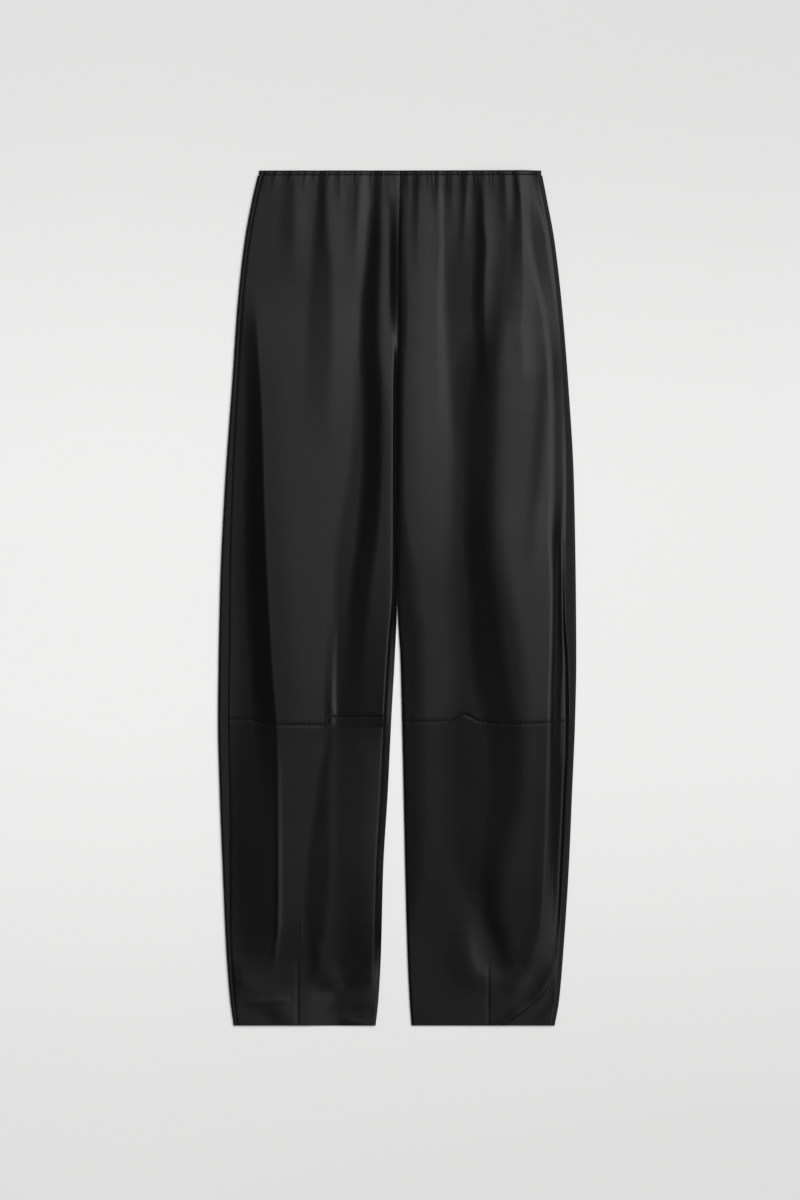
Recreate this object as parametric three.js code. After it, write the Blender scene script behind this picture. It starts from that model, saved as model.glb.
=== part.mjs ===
// Barrel-leg pants laid flat with the front up: a narrow gathered waist and two rounded legs, each with a
// seam across the knee. The cloth is a thin wall, thrown into long folds that run down the legs.
// Millimetres. X runs across the pants, Y from the hems up to the waist edge, Z up from the surface below.
// Right and left are the wearer's, so the right leg lies on the side of negative X.
import * as THREE from 'three';

// Driving dimensions
const LENGTH = 1050;
const CLOTH = 1.5;
const SEAM_GAP = 0.3;
const EDGE_ROUND = 2.1;
const CASING_HEIGHT = 6;
const CASING_SWELL = 0.5;
const CASING_ROLL = 0.6;
const CASING_MIDDLE = 0.45 * CASING_HEIGHT;
const KNEE_DROP = 675;
const KNEE_REACH = 90;
const CROWN = 1;
const SEAM_WINDOW = 4.5;
const LOFT = 0.75;
const END_CREST = 2.5;
const END_FOOT = 3;
const EASE_TO = 175;
const EASE_RUN = 165;
const EASE_ROUNDING = EASE_RUN / 8;
const WIDEST_ROUNDING = 0.48;

// Gathers of the elastic waist, counted on each front half
const GATHERS = 15;
const GATHER_DEPTH = 1.4;
const GATHER_LENGTHS = [46, 88, 60, 118, 52, 96, 70];

// Fineness of the mesh
const COLUMNS = 28;
const COLUMNS_PER_GATHER = 4;
const GATHER_ROWS = [0, 7, 18, 34, 58];
const ROW_SPACING = 28;
const TURN_STEPS = 5;
const SAMPLES = 160;
const BEND_WEIGHT = 2.6;

// A short table: each row becomes an object with these columns
function table(columns, rows) {
  return rows.map((row) => Object.fromEntries(columns.map((column, i) => [column, row[i]])));
}

// The outline, read at a drop below the waist edge: where each outer edge and each inner edge lies across,
// and how far in from the outer edge each side seam runs.
const OUTLINE = table([
  'drop', 'rightEdge', 'rightInner', 'leftInner', 'leftEdge', 'rightSeamIn', 'leftSeamIn',
], [
  [0, -169.5, 3.4, 3.4, 177, 5, 5],
  [36, -178, 2.4, 2.4, 184, 5, 5],
  [85, -187, 1.2, 1.2, 193, 5, 5],
  [160, -195.5, 0.3, 0.3, 201.8, 5, 5],
  [260, -202.5, 0, 0, 210, 5.5, 6],
  [380, -211, 0, 0, 217, 8, 9],
  [500, -217, 0, 0, 219.3, 10.5, 12.5],
  [530, -217.8, -0.1, 0.2, 219.6, 11.2, 12.5],
  [600, -219.2, -3, 4.2, 220, 12, 9],
  [675, -220, -7, 6.1, 218.5, 12, 6],
  [760, -218, -11.3, 8, 215, 11.5, 6],
  [860, -214.1, -17.2, 10.1, 210.6, 8, 6],
  [960, -209.6, -19.8, 12.8, 204, 5, 5],
  [1018, -205, -23, 15.5, 199, 4.5, 4.5],
  [1050, -200.6, -26.4, 17.8, 193.5, 4.5, 4.5],
]);

// The knee seam: its drop at places across both legs. It steps where the cloth above it is folded.
const KNEE = table(['across', 'drop'], [
  [-220, 674], [-187, 674], [-150, 681], [-94, 681], [-76, 671], [-8, 671], [8, 677], [60, 676],
  [80, 668], [100, 676], [137, 680], [184, 678], [220, 676],
]);

// The large folds. On both legs the cloth climbs from left to right in steps, and all of a leg's steps come
// down together at its right side, where its end is. A ridge comes down again by itself. Each row gives a
// drop, where the crest lies across, its height, and the widths of the flank that rises to it and, for a
// ridge, of the one that falls from it. The radii round the crest and the foot.
function step(crest, foot, rows) {
  return { crest, foot, rows: table(['drop', 'across', 'height', 'rise'], rows) };
}

function ridge(crest, foot, rows) {
  return { crest, foot, rows: table(['drop', 'across', 'height', 'rise', 'fall'], rows) };
}

const RIGHT_STEPS = {
  side: step(1.5, 11, [
    [140, -177, 0, 14], [175, -174, 0.8, 17], [208, -172, 1.8, 20], [282, -167.5, 3, 24],
    [331, -165.8, 3.6, 27], [404, -164, 4.2, 31], [527, -159, 4.8, 37], [626, -153, 5.4, 43],
    [699, -147.5, 7, 51], [748, -146.3, 8, 55], [847, -146, 7.6, 56], [920, -146.5, 6, 52],
    [950, -150, 3.8, 44], [976, -156, 1.4, 34], [1000, -162, 0, 30],
  ]),
  sideSteep: step(1.5, 6, [
    [165, -174, 0, 10], [208, -172, 1.2, 12], [282, -167.5, 3.2, 15], [340, -165.5, 5, 17],
    [404, -164, 6.5, 19], [527, -159, 8, 22], [626, -153, 7.5, 23], [680, -148.5, 5, 24],
    [748, -146.3, 1.5, 18], [800, -146, 0, 16],
  ]),
  shoulder: step(10, 3, [
    [200, -145, 0, 24], [300, -143, 0.5, 22], [404, -140, 0.6, 22], [527, -134, 0.9, 24],
    [626, -126, 1, 26], [672, -123, 0.8, 26], [700, -123, 0.2, 26], [760, -123, 0, 26],
  ]),
  middle: step(4, 5, [
    [0, -20, 0.9, 9], [36, -20, 1, 10], [85, -19, 1.6, 13], [122, -20, 2, 18], [159, -20, 2.4, 25],
    [196, -18.5, 2.8, 27], [220, -18, 3, 30], [257, -14.5, 3.6, 36], [306, -10, 4.4, 43],
    [343, -9, 4.6, 46], [380, -9, 4.8, 51], [417, -9, 5, 58], [454, -9, 5.4, 64], [491, -9, 6, 67],
    [515, -9, 6.8, 67], [540, -9, 7.6, 67], [576, -10, 9, 66], [640, -13, 10, 62], [668, -14, 10, 61],
    [685, -20, 5, 54], [748, -24, 2, 50], [850, -30, 1.5, 44], [950, -38, 1, 40], [1030, -44, 0, 40],
  ]),
  middleSteep: step(4, 5, [
    [0, -21, 1.2, 9], [36, -21, 1.6, 9], [61, -22, 3, 12], [85, -22, 3.8, 14], [122, -22.5, 4.4, 16],
    [159, -24.5, 5, 17], [196, -25, 5, 18], [220, -24.5, 5.4, 18.5], [257, -21.5, 5.9, 20],
    [306, -20, 6.1, 20], [343, -20, 6.2, 20], [380, -21, 6.2, 20], [417, -23, 6.2, 21],
    [454, -26, 5.6, 22], [491, -31, 5, 22], [515, -34, 4.2, 22], [540, -36, 3.6, 22],
    [576, -40, 2.4, 20], [640, -44, 1, 20], [672, -46, 0.6, 20], [700, -46, 0, 20],
  ]),
  shin: step(4, 4, [
    [676, -78, 0, 8], [699, -79, 0.9, 8], [748, -84, 1.6, 12], [797, -84, 2.3, 18], [847, -83, 3, 26],
    [896, -86, 3, 26], [932, -90, 2.6, 20], [957, -94, 2, 14], [985, -98, 1, 10], [1008, -100, 0, 10],
  ]),
  calf: step(8, 8, [
    [676, -46, 0.8, 34], [748, -38, 2, 40], [850, -38, 2, 42], [920, -40, 1.1, 40],
    [1000, -44, 0.3, 40], [1040, -44, 0, 40],
  ]),
};
const RIGHT_RIDGES = {
  hip: ridge(5, 5, [
    [0, -88, 1.4, 7, 52], [24, -88, 2, 8, 56], [61, -87, 2.5, 12, 60], [90, -85, 2.6, 17, 60],
    [122, -81, 2.6, 24, 58], [196, -80, 2.2, 30, 50], [240, -82, 1.6, 30, 50], [290, -84, 0.9, 30, 50],
    [350, -86, 0, 30, 50],
  ]),
  pocket: ridge(4, 5, [
    [0, -126, 0.8, 12, 14], [30, -125, 1, 14, 16], [61, -126, 1.2, 17, 18], [110, -127, 0.4, 17, 20],
    [140, -127, 0, 17, 20],
  ]),
  knee: ridge(1.5, 2, [
    [540, -76, 0, 9, 4], [620, -79, 0.7, 9, 4], [665, -80, 1.2, 9, 5], [685, -81, 0, 9, 5],
  ]),
};
const RIGHT_END = table(['drop', 'across', 'fall'], [
  [0, -12, 12], [36, -10.5, 11], [61, -9, 9.5], [122, -8.5, 9], [160, -8.5, 8.5], [196, -8, 7.5],
  [208, -5, 3.8], [220, -4, 2.8], [257, -4.4, 3.2], [306, -4.4, 3.2], [380, -4.4, 3.2],
  [454, -4.4, 3.2], [515, -4.8, 3.4], [576, -9.5, 6.5], [640, -14, 8.5], [672, -15.5, 8.5],
  [700, -17, 8.5], [760, -20, 8.5], [850, -25, 8], [950, -28.5, 8], [1050, -35, 8],
]);

const LEFT_STEPS = {
  inner: step(9, 3, [
    [0, 8, 0.3, 8], [36, 8, 0.9, 9], [61, 8, 1.7, 10], [90, 8, 2.2, 11], [122, 8.5, 2.4, 10],
    [160, 9.5, 2.6, 11], [200, 9, 2.4, 9], [233, 7.5, 1.9, 7.5], [306, 6.5, 1.5, 6.5], [404, 7, 1.4, 7],
    [454, 11, 1.8, 11], [490, 18, 2.4, 18], [527, 21, 2.9, 20], [576, 29, 3.4, 25], [626, 29, 3.4, 24],
    [700, 29, 2.6, 22], [797, 28, 2, 18], [860, 28, 1.6, 16], [900, 22, 0.8, 10], [940, 20, 0, 8],
  ]),
  hipRise: step(6, 6, [
    [0, 168, 5.6, 150], [61, 168, 5.2, 150], [122, 168, 3.4, 150], [190, 168, 0, 150],
  ]),
  hollow: step(3, 14, [
    [0, 54, -0.6, 26], [61, 55, -1.2, 28], [122, 58, -2.2, 34], [160, 60, -2.8, 36],
    [233, 62, -3.6, 42], [270, 65, -3.5, 44], [306, 67, -3.3, 46], [343, 69, -2.8, 46],
    [404, 68, -2, 46], [454, 66, -1, 44], [520, 64, 0, 44],
  ]),
  hollowEdge: step(1.5, 1.5, [
    [16, 55, 0, 4], [36, 57, -0.7, 4.5], [68, 57, -0.8, 5], [90, 58, -0.9, 6], [122, 57, -1, 6],
    [160, 56, -1.1, 7], [196, 57, -1, 8], [240, 60, -0.7, 11], [290, 62, -0.4, 12], [340, 64, 0, 12],
  ]),
  first: step(6, 6, [
    [0, 98, 0.6, 12], [36, 98, 0.7, 14], [90, 100, 1.4, 30], [122, 100, 2.2, 38], [160, 100, 2.4, 38],
    [196, 102, 2.2, 38], [233, 106, 1.8, 38], [282, 110, 1, 38], [340, 112, 0, 38],
  ]),
  firstSteep: step(2, 4, [
    [0, 104, 0.4, 8], [24, 104, 1, 8], [36, 105, 1.5, 9], [68, 106, 1.9, 10], [90, 108, 2.4, 12],
    [122, 107, 2.3, 12], [160, 106, 2.2, 12], [196, 107, 1.6, 12], [233, 110, 0.9, 12],
    [270, 112, 0, 12],
  ]),
  middle: step(8, 13, [
    [0, 142, 0.2, 16], [61, 142, 0.9, 18], [122, 139, 1.6, 20], [147, 136, 2, 22], [184, 133, 3.4, 28],
    [220, 129, 5.2, 44], [257, 126, 6.6, 56], [306, 126, 6.8, 58], [343, 126, 6.8, 56],
    [404, 125, 6.8, 55], [454, 128, 7, 60], [527, 140, 8, 74], [576, 150, 8.3, 80], [626, 156, 8.6, 84],
    [699, 158, 8.6, 96], [748, 157, 8, 92], [797, 150, 6.4, 84], [847, 138, 5, 66], [896, 130, 2.8, 32],
    [934, 136, 2, 22], [958, 141, 1.4, 20], [990, 144, 0, 18],
  ]),
  middleSteep: step(7, 6, [
    [170, 130, 0, 20], [200, 127, 1.4, 22], [220, 125, 2.2, 24], [257, 120, 3.4, 26],
    [306, 118, 3.6, 30], [343, 116, 3.8, 30], [404, 113, 4.2, 27], [454, 114, 5.6, 28],
    [527, 122, 6, 32], [576, 128, 6, 36], [626, 136, 5.4, 40], [672, 146, 4.4, 40], [699, 150, 3.4, 36],
    [748, 150, 3, 36], [797, 140, 2.2, 28], [847, 128, 1.8, 22], [886, 121, 2.8, 15],
    [913, 121, 2.8, 14], [934, 128, 2.4, 14], [958, 135, 1.6, 12], [976, 138, 0.8, 11],
    [996, 140, 0, 11],
  ]),
  secondFalls: step(6, 6, [
    [80, 174, 0, 32], [122, 174, -1.6, 32], [160, 174, -2.2, 32], [196, 168, -1.8, 30],
    [233, 168, -1.4, 30], [300, 168, 0, 30],
  ]),
};
const LEFT_RIDGES = {
  firstTop: ridge(3, 5, [
    [0, 105, 0.3, 6, 10], [36, 106, 0.6, 7, 11], [68, 107, 0.7, 8, 12], [90, 109, 0.8, 9, 12],
    [140, 107, 0.8, 10, 10], [180, 107, 0.5, 12, 9], [225, 108, 0, 12, 9],
  ]),
  hip: ridge(2, 4, [
    [0, 152, 0, 6, 5], [20, 152, 0.8, 7, 5], [36, 152.5, 1.1, 9, 6], [61, 153, 1.4, 12, 7],
    [85, 153.5, 1.6, 14, 8], [122, 154, 1.3, 14, 12], [160, 154, 1.2, 18, 14], [196, 152, 1, 14, 14],
    [233, 154, 0.7, 14, 14], [262, 153, 0, 14, 14],
  ]),
  minor: ridge(5, 5, [
    [200, 188, 0, 12, 10], [233, 187, 0.7, 13, 11], [306, 183, 1.1, 14, 14], [343, 180, 1.2, 14, 16],
    [380, 177, 1, 13, 16], [417, 172, 0.7, 13, 16], [454, 169, 0.5, 13, 16], [490, 168, 0, 13, 16],
  ]),
  patch: ridge(6, 6, [
    [900, 78, 0, 24, 20], [932, 84, 0.3, 26, 20], [957, 88, 0.6, 28, 22], [982, 90, 0.6, 28, 26],
    [1000, 94, 0.3, 26, 24], [1015, 98, 0, 26, 24],
  ]),
};
const LEFT_END = table(['drop', 'across', 'fall'], [
  [0, 158, 13], [36, 158, 19], [85, 162, 22], [122, 168, 21], [160, 177, 18], [196, 184, 14],
  [250, 191, 12], [306, 190, 14], [380, 188, 15], [454, 187, 14], [490, 190, 11.5], [527, 192, 10],
  [576, 194, 9], [626, 193, 10], [669, 192, 11], [748, 191, 12], [850, 190.5, 9], [900, 189.5, 8],
  [932, 186.5, 8.5], [957, 181, 11.5], [982, 173, 15], [1006, 158, 22], [1030, 140, 30],
]);

// The height that both legs share at the centre seam, and how much of it the left leg keeps to its end
const CENTRE = table(['drop', 'height', 'kept'], [
  [0, 1.6, 1.6], [24, 1.9, 1.9], [36, 2.7, 2.2], [61, 4.7, 3], [85, 6.3, 3.6], [122, 7.4, 4],
  [160, 8, 3.6], [190, 7.9, 2.8], [220, 7.2, 1.8], [257, 6.1, 0.8], [306, 4.8, 0.3], [380, 3.2, 0],
  [450, 1.6, 0], [515, 0, 0],
]);

const LEGS = {
  right: {
    side: -1, edge: 'rightEdge', inner: 'rightInner', seamIn: 'rightSeamIn',
    steps: Object.values(RIGHT_STEPS), ridges: Object.values(RIGHT_RIDGES), end: RIGHT_END,
  },
  left: {
    side: 1, edge: 'leftEdge', inner: 'leftInner', seamIn: 'leftSeamIn',
    steps: Object.values(LEFT_STEPS), ridges: Object.values(LEFT_RIDGES), end: LEFT_END,
  },
};

const FRONT_SATIN = { color: 0x1c1c1e, roughness: 0.42, metalness: 0 };
const BACK_SATIN = { color: 0x18181a, roughness: 0.45, metalness: 0 };
const CASING_SATIN = { color: 0x202022, roughness: 0.5, metalness: 0 };

// A column of a table read between its rows, on a smooth curve that never passes beyond a row's value.
function read(rows, column, at, key = 'drop') {
  const last = rows.length - 1;
  if (at <= rows[0][key]) return rows[0][column];
  if (at >= rows[last][key]) return rows[last][column];
  const i = rows.findIndex((row) => row[key] > at) - 1;
  const chord = (k) => (rows[k + 1][column] - rows[k][column]) / (rows[k + 1][key] - rows[k][key]);
  const slope = (k) => {
    if (k === 0) return chord(0);
    if (k === last) return chord(last - 1);
    const before = chord(k - 1);
    const after = chord(k);
    return before * after <= 0 ? 0 : (2 * before * after) / (before + after);
  };
  const span = rows[i + 1][key] - rows[i][key];
  const t = (at - rows[i][key]) / span;
  const rest = 1 - t;
  return (1 + 2 * t) * rest * rest * rows[i][column] + t * rest * rest * span * slope(i)
    + t * t * (3 - 2 * t) * rows[i + 1][column] - t * t * rest * span * slope(i + 1);
}

// Where the side seam lies across a leg
function seamAcross(leg, drop) {
  return read(OUTLINE, leg.edge, drop) - leg.side * read(OUTLINE, leg.seamIn, drop);
}

// A row's own drop at a place across, with the rows near the knee bent to follow the knee seam
function rowDrop(nominal, across) {
  const near = 1 - THREE.MathUtils.smoothstep(Math.abs(nominal - KNEE_DROP), 0, KNEE_REACH);
  return nominal + near * (read(KNEE, 'drop', across, 'across') - KNEE_DROP);
}

// 0 on one side, t on the other, and a parabola over one radius either side of the corner
function hinge(t, radius) {
  if (t <= -radius) return 0;
  return t >= radius ? t : (t + radius) ** 2 / (4 * radius);
}

// A straight flank from 0 up to 1 that ends where away is 0. Its radii shrink where it is narrow.
function climb(away, width, foot, crest) {
  const narrow = WIDEST_ROUNDING * width;
  return (hinge(away + width, Math.min(foot, narrow)) - hinge(away, Math.min(crest, narrow))) / width;
}

// How far one fold lifts the cloth: its flank's climb, less its fall if it is a ridge
function foldLift(fold, across, drop) {
  if (drop < fold.rows[0].drop || drop > fold.rows.at(-1).drop) return 0;
  const away = across - read(fold.rows, 'across', drop);
  const rise = climb(away, read(fold.rows, 'rise', drop), fold.foot, fold.crest);
  const width = 'fall' in fold.rows[0] ? read(fold.rows, 'fall', drop) : 0;
  const fall = width > 0 ? climb(away - width, width, fold.crest, fold.foot) : 0;
  return LOFT * read(fold.rows, 'height', drop) * (rise - fall);
}

// How far along the way down a place is at the leg's end, from 0 before it to 1 beyond it
function ended(leg, across, drop) {
  const width = read(leg.end, 'fall', drop);
  return climb(across - read(leg.end, 'across', drop) - width, width, END_CREST, END_FOOT);
}

// All folds of one kind added up, the steps or the ridges of a leg
function foldsLift(folds, across, drop) {
  return folds.reduce((sum, fold) => sum + foldLift(fold, across, drop), 0);
}

// The shared height at the centre: it comes up at the right leg's end. On the left leg a part of it is kept
// to the end of the folds, and the rest eases down slowly.
function carried(leg, across, drop) {
  const share = ended(leg, across, drop);
  const height = read(CENTRE, 'height', drop);
  if (leg.side < 0) return height * share;
  const kept = read(CENTRE, 'kept', drop);
  const eased = 1 - climb(across - EASE_TO, EASE_RUN, EASE_ROUNDING, EASE_ROUNDING);
  return kept * (1 - share) + (height - kept) * eased;
}

// How far the waist gathers lift the cloth: one wave to each gather, fading out at its own length
function gatherLift(share, drop) {
  const gather = Math.min(Math.floor(share * GATHERS), GATHERS - 1);
  const reach = GATHER_LENGTHS[gather % GATHER_LENGTHS.length];
  const strength = 0.75 + 0.25 * Math.sin(2.4 * gather);
  const fade = 1 - THREE.MathUtils.smoothstep(drop, 0, reach);
  return 0.5 * GATHER_DEPTH * strength * fade * (1 - Math.cos(2 * Math.PI * GATHERS * share));
}

// The top of a front panel. Its inner edge lies on the back panel, its side edge meets the rounded side.
function frontTop(leg, across, drop) {
  const inner = read(OUTLINE, leg.inner, drop);
  const seam = seamAcross(leg, drop);
  const share = THREE.MathUtils.clamp((across - inner) / (seam - inner), 0, 1);
  const base = THREE.MathUtils.lerp(2 * CLOTH + SEAM_GAP, 2 * EDGE_ROUND, share);
  const fromSeams = Math.min(Math.abs(across - inner), Math.abs(across - seam));
  const window = THREE.MathUtils.smoothstep(fromSeams, 0, SEAM_WINDOW);
  const crown = CROWN * 4 * share * (1 - share);
  const fromStart = Math.abs(across - (leg.side < 0 ? seam : inner));
  const begun = THREE.MathUtils.smoothstep(fromStart, 0, SEAM_WINDOW) * (1 - ended(leg, across, drop));
  const folds = begun * foldsLift(leg.steps, across, drop) + window * foldsLift(leg.ridges, across, drop);
  return base + crown + folds + carried(leg, across, drop) + gatherLift(share, drop);
}

// The inside of a front panel, one wall below its top when measured square to the cloth
function frontInside(leg, across, drop) {
  const reach = 1;
  const slopeX = frontTop(leg, across + reach, drop) - frontTop(leg, across - reach, drop);
  const slopeY = frontTop(leg, across, drop + reach) - frontTop(leg, across, drop - reach);
  const steepness = Math.hypot(slopeX, slopeY) / (2 * reach);
  return frontTop(leg, across, drop) - CLOTH * Math.hypot(1, steepness);
}

// Shares of the way from the inner edge to the side seam, crowded where the cloth bends most
function columnShares(leg, drop, count) {
  const even = Array.from({ length: count + 1 }, (_, j) => j / count);
  if (drop <= GATHER_ROWS.at(-1)) return even;
  const inner = read(OUTLINE, leg.inner, drop);
  const seam = seamAcross(leg, drop);
  const top = Array.from({ length: SAMPLES + 1 }, (_, k) => (
    frontTop(leg, THREE.MathUtils.lerp(inner, seam, k / SAMPLES), drop)));
  const total = [0];
  for (let k = 1; k <= SAMPLES; k += 1) {
    const bend = k < SAMPLES ? Math.abs(top[k - 1] - 2 * top[k] + top[k + 1]) : 0;
    total.push(total[k - 1] + 1 + BEND_WEIGHT * Math.sqrt(bend));
  }
  return even.map((share) => {
    const target = share * total[SAMPLES];
    const k = Math.min(total.findIndex((value) => value >= target), SAMPLES);
    if (k === 0) return 0;
    return (k - 1 + (target - total[k - 1]) / (total[k] - total[k - 1])) / SAMPLES;
  });
}

// Row drops from one seam to the next, evenly spaced
function evenRows(from, to) {
  const count = Math.round((to - from) / ROW_SPACING);
  return Array.from({ length: count + 1 }, (_, i) => THREE.MathUtils.lerp(from, to, i / count));
}

const TOP_DROP = CASING_HEIGHT + SEAM_GAP;
const UPPER_ROWS = [
  ...GATHER_ROWS.slice(0, -1).map((row) => TOP_DROP + row),
  ...evenRows(TOP_DROP + GATHER_ROWS.at(-1), KNEE_DROP - SEAM_GAP / 2),
];
const LOWER_ROWS = evenRows(KNEE_DROP + SEAM_GAP / 2, LENGTH);

function point(across, drop, up) {
  return [across, LENGTH / 2 - drop, up];
}

// Triangles between two neighbouring rows of points, walking along both in step
function stitch(rowA, rowB, flip, out) {
  const add = (a, b, c) => out.push(...a, ...(flip ? c : b), ...(flip ? b : c));
  const spansA = rowA.length - 1;
  const spansB = rowB.length - 1;
  let a = 0;
  let b = 0;
  while (a < spansA || b < spansB) {
    if (b < spansB && (a === spansA || (b + 1) * spansA <= (a + 1) * spansB)) {
      add(rowA[a], rowB[b], rowB[b + 1]);
      b += 1;
    } else {
      add(rowA[a], rowB[b], rowA[a + 1]);
      a += 1;
    }
  }
}

// A closed wall of cloth between its outer and its inner skin, each a list of rows of points
function wall(name, outer, inner, look) {
  const out = [];
  const quad = (a, b, c, d) => out.push(...a, ...b, ...c, ...a, ...c, ...d);
  for (let i = 0; i < outer.length - 1; i += 1) {
    stitch(outer[i], outer[i + 1], false, out);
    stitch(inner[i], inner[i + 1], true, out);
    quad(outer[i][0], inner[i][0], inner[i + 1][0], outer[i + 1][0]);
    quad(outer[i].at(-1), outer[i + 1].at(-1), inner[i + 1].at(-1), inner[i].at(-1));
  }
  for (let j = 0; j < outer[0].length - 1; j += 1) {
    quad(outer[0][j], outer[0][j + 1], inner[0][j + 1], inner[0][j]);
  }
  const last = outer.length - 1;
  for (let j = 0; j < outer[last].length - 1; j += 1) {
    quad(outer[last][j + 1], outer[last][j], inner[last][j], inner[last][j + 1]);
  }
  const geometry = new THREE.BufferGeometry();
  geometry.setAttribute('position', new THREE.Float32BufferAttribute(out, 3));
  geometry.computeVertexNormals();
  const mesh = new THREE.Mesh(geometry, new THREE.MeshStandardMaterial(look));
  mesh.name = name;
  return mesh;
}

// The places across a front panel at one row, in order of X
function frontAcross(leg, nominal, count) {
  const inner = read(OUTLINE, leg.inner, nominal) + leg.side * SEAM_GAP / 2;
  const seam = seamAcross(leg, nominal) - leg.side * SEAM_GAP;
  const places = columnShares(leg, nominal, count).map((share) => THREE.MathUtils.lerp(inner, seam, share));
  return leg.side < 0 ? places.reverse() : places;
}

function frontPanel(name, leg, rows) {
  const outer = [];
  const inner = [];
  rows.forEach((nominal) => {
    const gathered = nominal < TOP_DROP + GATHER_ROWS.at(-1);
    const places = frontAcross(leg, nominal, gathered ? GATHERS * COLUMNS_PER_GATHER : COLUMNS);
    outer.push(places.map((x) => point(x, rowDrop(nominal, x), frontTop(leg, x, nominal))));
    inner.push(places.map((x) => point(x, rowDrop(nominal, x), frontInside(leg, x, nominal))));
  });
  return wall(name, outer, inner, FRONT_SATIN);
}

// One section of a back panel: flat on the surface, turned round the outer edge and over to the side seam
function backSection(leg, nominal, offset) {
  const edge = read(OUTLINE, leg.edge, nominal);
  const inner = read(OUTLINE, leg.inner, nominal) + leg.side * SEAM_GAP / 2;
  const turn = edge - leg.side * EDGE_ROUND;
  const radius = EDGE_ROUND - offset;
  const places = [[inner, offset], [(inner + turn) / 2, offset]];
  for (let k = 0; k <= TURN_STEPS; k += 1) {
    const angle = (Math.PI * k) / TURN_STEPS;
    places.push([turn + leg.side * radius * Math.sin(angle), EDGE_ROUND - radius * Math.cos(angle)]);
  }
  places.push([seamAcross(leg, nominal), 2 * EDGE_ROUND - offset]);
  return leg.side < 0 ? places : places.reverse();
}

function backPanel(name, leg, rows) {
  const skin = (offset) => rows.map((nominal) => (
    backSection(leg, nominal, offset).map(([x, z]) => point(x, rowDrop(nominal, x), z))));
  return wall(name, skin(0), skin(CLOTH), BACK_SATIN);
}

// The front of the narrow casing round the elastic, gathered like the panels that hang from it
function casingFront() {
  const halves = Object.values(LEGS).map((leg) => (
    frontAcross(leg, 0, GATHERS * COLUMNS_PER_GATHER).map((x) => ({ leg, x }))));
  const places = [...halves[0].slice(0, -1), ...halves[1]];
  const rows = [
    { drop: 0, swell: -CASING_ROLL }, { drop: CASING_MIDDLE, swell: CASING_SWELL },
    { drop: CASING_HEIGHT, swell: 0 },
  ];
  const outer = rows.map((row) => (
    places.map(({ leg, x }) => point(x, row.drop, frontTop(leg, x, 0) + row.swell))));
  const inner = rows.map((row) => places.map(({ leg, x }) => point(x, row.drop, frontInside(leg, x, 0))));
  return wall('waist_casing_front', outer, inner, CASING_SATIN);
}

// The back of the casing, turned round both sides to meet the front at the side seams
function casingBack() {
  const ring = (offset) => {
    const right = backSection(LEGS.right, 0, offset);
    const left = backSection(LEGS.left, 0, offset);
    return [...left.slice(0, -1), ...right.slice(1)];
  };
  const skin = (offset) => [0, CASING_HEIGHT].map((drop) => (
    ring(offset).map(([x, z]) => point(x, drop, z))));
  return wall('waist_casing_back', skin(0), skin(CLOTH), CASING_SATIN);
}

const pants = new THREE.Group();
pants.add(casingFront(), casingBack());
Object.entries(LEGS).forEach(([name, leg]) => {
  pants.add(
    frontPanel(`front_upper_${name}`, leg, UPPER_ROWS),
    frontPanel(`front_lower_${name}`, leg, LOWER_ROWS),
    backPanel(`back_upper_${name}`, leg, UPPER_ROWS),
    backPanel(`back_lower_${name}`, leg, LOWER_ROWS),
  );
});

export default pants;
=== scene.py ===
# %% [markdown]
# Barrel-leg pants in black satin, laid flat with the front up and seen from straight above. The garment
# is ten sewn pieces: the front and the back of each leg, cut in two at the knee, and a narrow casing
# round the waist elastic, front and back. Each piece is a thin shell of cloth. Its height above the table
# is a formula: a base, plus long folds that are read from short tables, plus the gathers of the waist.
# Tables are in millimetres, because a maker thinks so, and meshes are in metres, because Blender does.

import math

import bpy
import numpy as np
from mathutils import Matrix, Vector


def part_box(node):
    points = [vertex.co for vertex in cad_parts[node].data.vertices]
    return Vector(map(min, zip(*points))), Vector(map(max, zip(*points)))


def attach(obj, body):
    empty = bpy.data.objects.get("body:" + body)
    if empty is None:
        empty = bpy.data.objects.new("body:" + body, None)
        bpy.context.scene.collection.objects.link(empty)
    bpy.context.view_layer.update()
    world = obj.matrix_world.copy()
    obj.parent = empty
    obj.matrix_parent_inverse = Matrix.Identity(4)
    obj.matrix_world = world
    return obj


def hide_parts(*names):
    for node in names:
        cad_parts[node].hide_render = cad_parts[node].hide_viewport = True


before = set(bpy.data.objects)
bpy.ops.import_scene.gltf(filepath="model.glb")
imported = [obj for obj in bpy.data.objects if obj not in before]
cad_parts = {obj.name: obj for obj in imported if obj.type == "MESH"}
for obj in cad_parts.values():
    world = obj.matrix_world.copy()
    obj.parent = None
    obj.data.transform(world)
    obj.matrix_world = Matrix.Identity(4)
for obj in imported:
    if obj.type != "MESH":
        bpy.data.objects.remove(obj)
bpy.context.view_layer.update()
MM = 0.001
print("frame:", len(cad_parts), "nodes")

# %% [markdown]
# Sizes. The frame gives the length of the garment and where its waist edge lies, so the drop of a point,
# its distance below the waist edge, becomes a place on the table. The walls are one layer of satin with
# its turned edges, and the outer edge of each leg is a soft roll where the back comes round to the side
# seam.

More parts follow.
